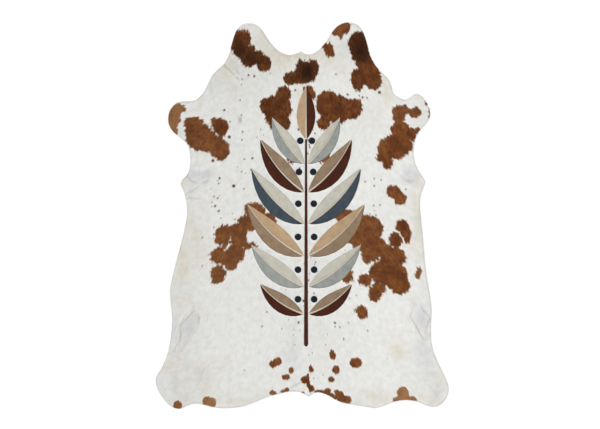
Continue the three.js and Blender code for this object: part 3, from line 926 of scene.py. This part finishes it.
# %% The skin
SKIN_THICKNESS = 1.6 * MILLIMETRE
SKIN_INSET = 2.5 * MILLIMETRE
SKIN_STEP = 10.5 * MILLIMETRE
RIM_STEP = 6 * MILLIMETRE
RIM_MARGIN = 4.5 * MILLIMETRE
RIM_UNEVEN = 0.35 * MILLIMETRE

rng = np.random.default_rng(7)


def inset(points, distance):
    """A closed anticlockwise outline, moved inwards."""
    along = np.roll(points, -1, axis=0) - np.roll(points, 1, axis=0)
    along /= np.maximum(np.hypot(*along.T), 1e-9)[:, None]
    return points + distance * np.column_stack([-along[:, 1], along[:, 0]])


skin_rim = inset(spaced(hide_outline, RIM_STEP), SKIN_INSET)
skin_rim += rng.normal(0, RIM_UNEVEN, skin_rim.shape)
skin_points = honeycomb(hide_outline.min(0), hide_outline.max(0), SKIN_STEP, rng, 0.18)
skin_points = skin_points[hide_depth(*skin_points.T) > SKIN_INSET + RIM_MARGIN]
skin = two_sided(
    "hide_skin",
    skin_rim,
    skin_points,
    lambda x, y: ground(x, y) + SKIN_THICKNESS,
    ground,
    [skin_finish, suede_finish],
)
skin_places = np.array([v.co[:] for v in skin.data.vertices])
plain = np.full(len(skin_places), 0.5)
store(skin.data, {"place": skin_places, "shade": plain, "ruffle": plain, **coat_at(*skin_places.T[:2])})
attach(skin, "root")
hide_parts("hide")
highest = skin_places[:, 2].max() / MILLIMETRE
print("skin:", len(skin.data.polygons), "faces, highest", round(highest, 1), "mm")

# %% [markdown]
# Each leaf, rib, berry and the stem is a piece of dyed hide. Its sheet has a soft shoulder: the top
# rises over a few millimetres from the cut, because a sewn edge is drawn down by its thread. Its
# points store their place turned to the run of the piece's own hair, so streaks can follow it.

# %% Dyed hide
DYES = {
    "dyed_cream": ((0.80, 0.74, 0.63, 1), (0.66, 0.58, 0.47, 1)),
    "dyed_pale_grey": ((0.63, 0.61, 0.53, 1), (0.47, 0.455, 0.39, 1)),
    "dyed_grey": ((0.39, 0.405, 0.38, 1), (0.25, 0.265, 0.25, 1)),
    "dyed_taupe": ((0.36, 0.255, 0.165, 1), (0.225, 0.155, 0.098, 1)),
    "dyed_tan": ((0.57, 0.41, 0.25, 1), (0.41, 0.275, 0.16, 1)),
    "dyed_brown": ((0.085, 0.022, 0.010, 1), (0.045, 0.012, 0.006, 1)),
    "dyed_slate": ((0.070, 0.093, 0.115, 1), (0.040, 0.055, 0.070, 1)),
    "dyed_navy": ((0.014, 0.022, 0.034, 1), (0.008, 0.012, 0.019, 1)),
}


def dyed_finish(slot, light, deep):
    """The material of hide in one dye, streaked from light to deep."""
    dyed = Finish(slot + "_hide")
    place = dyed.stored("place", "Vector")
    streaked = dyed.node("ShaderNodeMapping", {}, {"Vector": place, "Scale": (0.16, 1.0, 1.0)})
    clouds = dyed.noise(place, 24.0, 3.0)
    streaks = dyed.noise(streaked, 520.0, 3.0, 0.6)
    share = clouds * 0.7 + streaks * 0.6 + (0.5 - dyed.stored("shade")) * 0.5
    return dyed.surface(
        Base_Color=dyed.mix(share.between(0.35, 0.95), light, deep),
        Roughness=0.55,
        Specular_IOR_Level=0.09,
        Normal=dyed.bump(streaks, 0.0006, 0.6),
    )


dyed_materials = {slot: dyed_finish(slot, light, deep) for slot, (light, deep) in DYES.items()}
print("dyed finishes:", len(dyed_materials))

# %% Sewn pieces
SEWN_NODES = sorted(node for node in frame["nodes"] if node != "hide")
SLOT_OF = {part["node"]: part["material_slot"] for part in frame["record"]["subparts"]}
SEWN_BOTTOM = 2.4 * MILLIMETRE
SEWN_EDGE_TOP = 3.7 * MILLIMETRE
SEWN_TOP = 5.0 * MILLIMETRE
SHOULDER = 3.0 * MILLIMETRE
SEWN_MAP_STEP = 1.5 * MILLIMETRE
SEWN_STEP = 6 * MILLIMETRE
SEWN_RIM_STEP = 5 * MILLIMETRE
LEAST_WIDTH = 10 * MILLIMETRE

sewn_outlines = {node: outline_of(node) for node in SEWN_NODES}
sewn_depth = EdgeMap(list(sewn_outlines.values()), step=SEWN_MAP_STEP, reach=12 * MILLIMETRE)


def sewn_top(x, y):
    """The height of a sewn piece's hair side, which slopes down to its cut."""
    shoulder = np.clip(sewn_depth(x, y) / SHOULDER, 0, 1)
    return ground(x, y) + SEWN_EDGE_TOP + (SEWN_TOP - SEWN_EDGE_TOP) * np.sin(shoulder * math.pi / 2)


def sewn_bottom(x, y):
    return ground(x, y) + SEWN_BOTTOM


def own_number(node):
    """A whole number that follows from a piece's name."""
    return sum(map(ord, node))


def hair_turn(node):
    """The run of a piece's hair: along its length, with a turn of its own."""
    outline = sewn_outlines[node]
    run = np.linalg.svd(outline - outline.mean(0), full_matrices=False)[2][0]
    own_turn = np.random.default_rng(own_number(node)).uniform(-0.45, 0.45)
    return math.atan2(run[1], run[0]) + own_turn


def hair_places(node, x, y):
    """Places along the hair's run and across it, moved by an amount of the piece's own."""
    turn = hair_turn(node)
    c, s = math.cos(turn), math.sin(turn)
    moved = np.array([0.37, 0.11]) * (own_number(node) % 17)
    return np.column_stack([x * c + y * s, y * c - x * s]) + moved


def flat_area(outline):
    """The area inside an outline."""
    x, y = outline.T
    return abs(np.sum(x * np.roll(y, -1) - np.roll(x, -1) * y)) / 2


def sewn_piece(node):
    """The sheet of one sewn piece, laid over its solid, with its flat width, length and area."""
    outline = sewn_outlines[node]
    rim = spaced(outline, SEWN_RIM_STEP)
    shoulder = inset(rim, 1.0 * MILLIMETRE)
    shoulder = shoulder[sewn_depth(*shoulder.T) > 0.4 * MILLIMETRE]
    own = EdgeMap([outline], step=SEWN_MAP_STEP, reach=90 * MILLIMETRE)
    inner = honeycomb(outline.min(0), outline.max(0), SEWN_STEP, rng, 0.15)
    inner = inner[own(*inner.T) > 2.2 * MILLIMETRE]
    material = dyed_materials[SLOT_OF[node]]
    net_points = np.concatenate([shoulder, inner])
    piece = two_sided("sewn_" + node, rim, net_points, sewn_top, sewn_bottom, [material])
    x, y, z = np.array([v.co[:] for v in piece.data.vertices]).T
    places = np.column_stack([hair_places(node, x, y), z])
    store(piece.data, {"place": places, "shade": np.full(len(places), 0.5)})
    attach(piece, "root")
    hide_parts(node)
    width = max(2 * own.depth.max(), LEAST_WIDTH)
    length = np.hypot(*(outline[:, None] - outline[None]).transpose(2, 0, 1)).max()
    return piece, (width, length), flat_area(outline)


sewn = {node: sewn_piece(node) for node in SEWN_NODES}
print("sewn pieces:", len(sewn), "of", round(sum(area for _, _, area in sewn.values()), 3), "square metres")

# %% [markdown]
# Hair is what makes a hide. A particle system would grow it, but it can't be handed on as a plain
# mesh, so each lock here is one long, thin triangle that lies along the coat. All the locks of a
# region are one mesh, built with arrays in a moment. A lock takes one colour, that of a place near its
# middle, so a patch's edge breaks into points along the run of the hair, as it does on the animal.
# region are one mesh, built with arrays in a moment. A lock takes one colour, that of a place near its
# middle, so a patch's edge breaks into points along the run of the hair, as it does on the animal.


# %% Locks of hair
LOCK_ROLL = 0.12
CHART_SHRINK = 0.35


def comb(name, roots, directions, lengths, widths, base, tip, material, values):
    """A mesh of one triangle for each root. base and tip give heights at x and y."""
    half = np.column_stack([directions[:, 1], -directions[:, 0]]) * widths[:, None] / 2
    ends = roots + directions * lengths[:, None]
    corners = np.stack([roots - half, roots + half, ends], axis=1)
    heights = np.stack([base(*(roots - half).T), base(*(roots + half).T), tip(*ends.T)], axis=1)
    roll = rng.uniform(-1, 1, len(roots)) * widths * LOCK_ROLL
    heights[:, 0] += roll
    heights[:, 1] -= roll
    heights[:, 2] += rng.uniform(-0.4, 0.6, len(roots)) * MILLIMETRE
    points = np.concatenate([corners, heights[:, :, None]], axis=2).reshape(-1, 3)
    mesh = bpy.data.meshes.new(name)
    mesh.vertices.add(len(points))
    mesh.vertices.foreach_set("co", points.astype(np.float32).ravel())
    mesh.loops.add(len(points))
    mesh.loops.foreach_set("vertex_index", np.arange(len(points), dtype=np.int32))
    mesh.polygons.add(len(roots))
    mesh.polygons.foreach_set("loop_start", np.arange(0, len(points), 3, dtype=np.int32))
    mesh.update(calc_edges=True)
    mesh.materials.append(material)
    store(mesh, {key: np.repeat(value, 3, axis=0) for key, value in values.items()})
    low, high = SOLID_BOX
    chart = roots[:, None, :] + (corners - roots[:, None, :]) * CHART_SHRINK
    chart = (chart - np.array(low[:2])) / (high[1] - low[1])
    mesh.uv_layers.new(name="OFBake").data.foreach_set("uv", chart.astype(np.float32).ravel())
    piece = placed(name, mesh)
    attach(piece, "root")
    return piece


print("one triangle for each lock")

# %% [markdown]
# The coat runs from the nose to the tail and down each leg. On the flat hide that is a fan: straight
# back along the spine, and turned outwards towards the flanks. Locks near the cut are shortened, so
# that they overhang it by a few millimetres and soften it, and none grow under the sewn leaves.
#
# Hair also lies in tufts a centimetre wide, and the hairs of one tuft lean together. So each tuft
# carries its piece of the pattern a little way along the run of the hair, which cuts the edge of a
# patch into teeth. The tufts are the cells of a jittered grid that is turned to the hair's run.

# %% Hair of the hide
HAIR_GAP = 2.85 * MILLIMETRE
HAIR_LENGTH = 15 * MILLIMETRE
HAIR_WIDTH = 2.3 * MILLIMETRE
HAIR_OVERHANG = 4.0 * MILLIMETRE
TUFT_WIDTH = 7 * MILLIMETRE
TUFT_LENGTH = 19 * MILLIMETRE
TUFT_SHIFT = 6 * MILLIMETRE
TUFT_SWAY = 3 * MILLIMETRE
TUFT_TURN = 0.2
STRAY_TURN = 0.17
COLOUR_AT = 0.4
STRAY_COLOUR = 1.5 * MILLIMETRE
ROOT_DEPTH = 0.3 * MILLIMETRE
TIP_HEIGHT = 1.5 * MILLIMETRE
CALM_RUMP = (-78 * CENTIMETRE, -90 * CENTIMETRE, 0.35)
HAIR_BANDS = ("hair_neck", "hair_shoulders", "hair_ribs", "hair_flanks", "hair_rump")


def coat_run(x, y):
    """The direction in which the hair lies, as an angle from -Y towards +X."""
    swirl = 0.16 * np.sin(x * 7.1 + y * 3.3) + 0.12 * np.sin(y * 9.7 - x * 4.9 + 1.3)
    return 0.95 * np.tanh(1.25 * (x - 0.025)) + swirl


def ruffle(y):
    """How much the tufts part: 1 over most of the hide and less over the smooth rump."""
    start, end, least = CALM_RUMP
    return least + (1 - least) * np.clip((y - end) / (start - end), 0, 1)


def scatter(i, j, kind):
    """A number from 0 to 1 that looks random, and is always the same for the same cell."""
    value = np.sin(i * 12.9898 + j * 78.233 + kind * 37.719) * 43758.5453
    return value - np.floor(value)


def tufts_at(x, y):
    """Three numbers from 0 to 1 for the tuft at each place: its lean, its sway and its shade."""
    turn = np.round(coat_run(x, y) / TUFT_TURN)
    s, c = np.sin(turn * TUFT_TURN), np.cos(turn * TUFT_TURN)
    across = (x * c + y * s) / TUFT_WIDTH
    along = (x * s - y * c) / TUFT_LENGTH
    nearest = np.full(np.shape(x), 9.0)
    found = [np.zeros(np.shape(x)) for _ in range(3)]
    for side in (-1, 0, 1):
        for end in (-1, 0, 1):
            i, j = np.floor(across) + side, np.floor(along) + end
            key = i + 97 * turn
            gap = np.hypot(i + scatter(key, j, 1) - across, j + scatter(key, j, 2) - along)
            closer = gap < nearest
            nearest = np.where(closer, gap, nearest)
            drawn = [scatter(key, j, 3 + kind) for kind in range(3)]
            found = [np.where(closer, new, old) for new, old in zip(drawn, found)]
    return found


hair_roots = honeycomb(hide_outline.min(0), hide_outline.max(0), HAIR_GAP, rng, 0.45)
keep = (hide_depth(*hair_roots.T) > SKIN_INSET) & (sewn_depth(*hair_roots.T) < -0.6 * MILLIMETRE)
hair_roots = hair_roots[keep]
run = coat_run(*hair_roots.T) + rng.normal(0, STRAY_TURN, len(hair_roots))
hair_directions = np.column_stack([np.sin(run), -np.cos(run)])
hair_lengths = HAIR_LENGTH * rng.uniform(0.7, 1.25, len(hair_roots))
for shortening in range(6):
    tips = hair_roots + hair_directions * hair_lengths[:, None]
    beyond = hide_depth(*tips.T) < -HAIR_OVERHANG * rng.uniform(0.2, 1.0, len(tips))
    hair_lengths[beyond] *= 0.75
print("locks of the hide:", len(hair_roots))

# %% Hair meshes
lean, sway, tuft_shade = tufts_at(*hair_roots.T)
hair_middles = hair_roots + hair_directions * hair_lengths[:, None] * COLOUR_AT
hair_sides = np.column_stack([hair_directions[:, 1], -hair_directions[:, 0]])
ruffled = ruffle(hair_roots[:, 1])
carried = ruffled * TUFT_SHIFT * (2 * lean - 1) + rng.normal(0, STRAY_COLOUR, len(hair_roots))
swayed = ruffled * TUFT_SWAY * (2 * sway - 1)
colour_places = hair_middles + hair_directions * carried[:, None] + hair_sides * swayed[:, None]
coat_values = coat_at(*colour_places.T)
coat_values["ruffle"] = ruffled
coat_values["fleck"] = flecks_at(*hair_middles.T)
coat_values["fold"] = marks_at(*hair_middles.T, CREASE_SHADE_MARKS)
coat_values["rim"] = hide_depth(*hair_roots.T)
coat_values["place"] = np.column_stack([colour_places, np.zeros(len(hair_roots))])
coat_values["shade"] = 0.7 * tuft_shade + 0.3 * rng.beta(3, 3, len(hair_roots))
band_edges = np.quantile(hair_roots[:, 1], np.linspace(0, 1, len(HAIR_BANDS) + 1))
band_edges[-1] += 1
for name, low_y, high_y in zip(HAIR_BANDS, band_edges[-2::-1], band_edges[::-1]):
    band = (hair_roots[:, 1] >= low_y) & (hair_roots[:, 1] < high_y)
    comb(
        name,
        hair_roots[band],
        hair_directions[band],
        hair_lengths[band],
        HAIR_WIDTH * rng.uniform(0.7, 1.2, band.sum()),
        lambda x, y: ground(x, y) + SKIN_THICKNESS - ROOT_DEPTH,
        lambda x, y: ground(x, y) + SKIN_THICKNESS + TIP_HEIGHT,
        coat_material,
        {key: value[band] for key, value in coat_values.items()},
    )

# %% [markdown]
# The dyed pieces are clipped shorter than the hide, so they have a nap of small locks, thin enough
# that the two colours of a leaf meet in a crisp line at its rib. One mesh holds each dye.

# %% Nap of the dyed pieces
NAP_GAP = 2.5 * MILLIMETRE
NAP_LENGTH = 8 * MILLIMETRE
NAP_WIDTH = 1.7 * MILLIMETRE
NAP_ROOT_DEPTH = 0.2 * MILLIMETRE
NAP_TIP_HEIGHT = 0.5 * MILLIMETRE


def nap_roots(node):
    """Roots over one sewn piece, their directions, lengths and places along the hair."""
    outline = sewn_outlines[node]
    own = EdgeMap([outline], step=SEWN_MAP_STEP, reach=12 * MILLIMETRE)
    roots = honeycomb(outline.min(0), outline.max(0), NAP_GAP, rng, 0.45)
    roots = roots[own(*roots.T) > 0.5 * MILLIMETRE]
    run = hair_turn(node) + rng.normal(0, 0.14, len(roots))
    directions = np.column_stack([np.cos(run), np.sin(run)])
    lengths = NAP_LENGTH * rng.uniform(0.7, 1.2, len(roots))
    for shortening in range(7):
        beyond = own(*(roots + directions * lengths[:, None]).T) < 0.1 * MILLIMETRE
        lengths[beyond] *= 0.7
    return roots, directions, lengths, hair_places(node, *roots.T)


naps = {}
for dye in DYES:
    parts = [nap_roots(node) for node in SEWN_NODES if SLOT_OF[node] == dye]
    roots, directions, lengths, places = (np.concatenate(column) for column in zip(*parts))
    naps[dye] = comb(
        "nap_" + dye,
        roots,
        directions,
        lengths,
        NAP_WIDTH * rng.uniform(0.7, 1.2, len(roots)),
        lambda x, y: sewn_top(x, y) - NAP_ROOT_DEPTH,
        lambda x, y: sewn_top(x, y) + NAP_TIP_HEIGHT,
        dyed_materials[dye],
        {"place": np.column_stack([places, np.zeros(len(roots))]), "shade": rng.beta(3, 3, len(roots))},
    )
print("nap:", {dye: len(piece.data.polygons) for dye, piece in naps.items()})

# %% [markdown]
# The pieces are held by a line of stitches just inside each cut. A stitch is a short, bowed bar of
# thread that dips into the hide at both ends. All stitches of one thread are a single mesh, and the
# thread is pale on the pale pieces and dark on the dark ones.

# %% Stitches
STITCH_LENGTH = 5.5 * MILLIMETRE
STITCH_PITCH = 8.5 * MILLIMETRE
STITCH_INSET = 2.2 * MILLIMETRE
THREAD_HALF = 0.35 * MILLIMETRE
STITCH_LIFT = 0.5 * MILLIMETRE
# Rings of a stitch: the place along it as a share of its length, and the height in millimetres
STITCH_BOW = [(-0.5, -0.5), (-0.32, 0.45), (0.32, 0.45), (0.5, -0.5)]
# Corners of a ring: to the side and up, in half widths of the thread
THREAD_SECTION = [(-1, 0), (0, -1), (1, 0), (0, 1)]
STITCH_FACES = (len(STITCH_BOW) - 1) * len(THREAD_SECTION) + 2
# Each thread: its colour, then the dyes that it is used on
THREADS = {
    "thread_pale": (
        (0.50, 0.44, 0.35, 1),
        ("dyed_pale_grey", "dyed_tan", "dyed_cream"),
    ),
    "thread_dark": (
        (0.05, 0.035, 0.03, 1),
        ("dyed_grey", "dyed_taupe", "dyed_brown", "dyed_slate", "dyed_navy"),
    ),
}


def stitch_places(node):
    """The middle and direction of each stitch inside a piece's cut."""
    outline = sewn_outlines[node]
    line = spaced(inset(spaced(outline, 3 * MILLIMETRE), STITCH_INSET), STITCH_PITCH / 8)
    line = line[sewn_depth(*line.T) > STITCH_INSET * 0.8]
    if len(line) < 9:
        return np.zeros((0, 2)), np.zeros((0, 2))
    steps = np.hypot(*(np.roll(line, -1, axis=0) - line).T)
    travelled = np.cumsum(steps)
    marks = np.searchsorted(travelled, np.arange(0, travelled[-1], STITCH_PITCH))[:-1]
    ahead = np.roll(line, -3, axis=0) - np.roll(line, 3, axis=0)
    spans = np.hypot(*ahead.T)
    usable = marks[(spans[marks] > 1e-4) & (spans[marks] < 1.5 * STITCH_PITCH)]
    return line[usable], ahead[usable] / spans[usable, None]


def stitched(name, colour, dyes):
    """One mesh of all the stitches of a thread."""
    found = [stitch_places(node) for node in SEWN_NODES if SLOT_OF[node] in dyes]
    middles, runs = (np.concatenate(column) for column in zip(*found))
    points, faces = [], []
    for (mx, my), (dx, dy) in zip(middles, runs):
        rings = []
        top = float(sewn_top(np.array([mx]), np.array([my]))[0]) + STITCH_LIFT
        for along, up in STITCH_BOW:
            x, y = mx + dx * along * STITCH_LENGTH, my + dy * along * STITCH_LENGTH
            z = top + up * MILLIMETRE
            rings.append(range(len(points), len(points) + len(THREAD_SECTION)))
            for side, rise in THREAD_SECTION:
                aside = side * THREAD_HALF
                points.append((x - dy * aside, y + dx * aside, z + rise * THREAD_HALF))
        for near, far in zip(rings, rings[1:]):
            for i in range(len(near)):
                after = (i + 1) % len(near)
                faces.append((near[i], near[after], far[after], far[i]))
        faces += [tuple(reversed(rings[0])), tuple(rings[-1])]
    mesh = bpy.data.meshes.new(name)
    mesh.from_pydata(points, [], faces)
    thread = Finish(name)
    twist = thread.noise(thread.node("ShaderNodeTexCoord", {}, {}, output="Object"), 1500.0, 2.0)
    darker = tuple(c * 0.6 for c in colour[:3]) + (1,)
    mesh.materials.append(thread.surface(Base_Color=thread.mix(twist, colour, darker), Roughness=0.7))
    mesh.polygons.foreach_set("use_smooth", np.ones(len(faces), bool))
    piece = placed(name, mesh)
    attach(piece, "root")
    return piece


threads = [stitched(name, colour, dyes) for name, (colour, dyes) in THREADS.items()]
print("stitches:", {piece.name: len(piece.data.polygons) // STITCH_FACES for piece in threads})

# %% [markdown]
# Last, the triangles of all the dressed pieces are counted. The hair, the skin and the sewn pieces
# all hang from the same body, and the sewn pieces rest on that skin.

# %% Triangle count
dressed = [piece for piece in scene.objects if piece.type == "MESH" and "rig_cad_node" not in piece]
triangles = sum(len(face.vertices) - 2 for piece in dressed for face in piece.data.polygons)
print("triangles:", triangles)
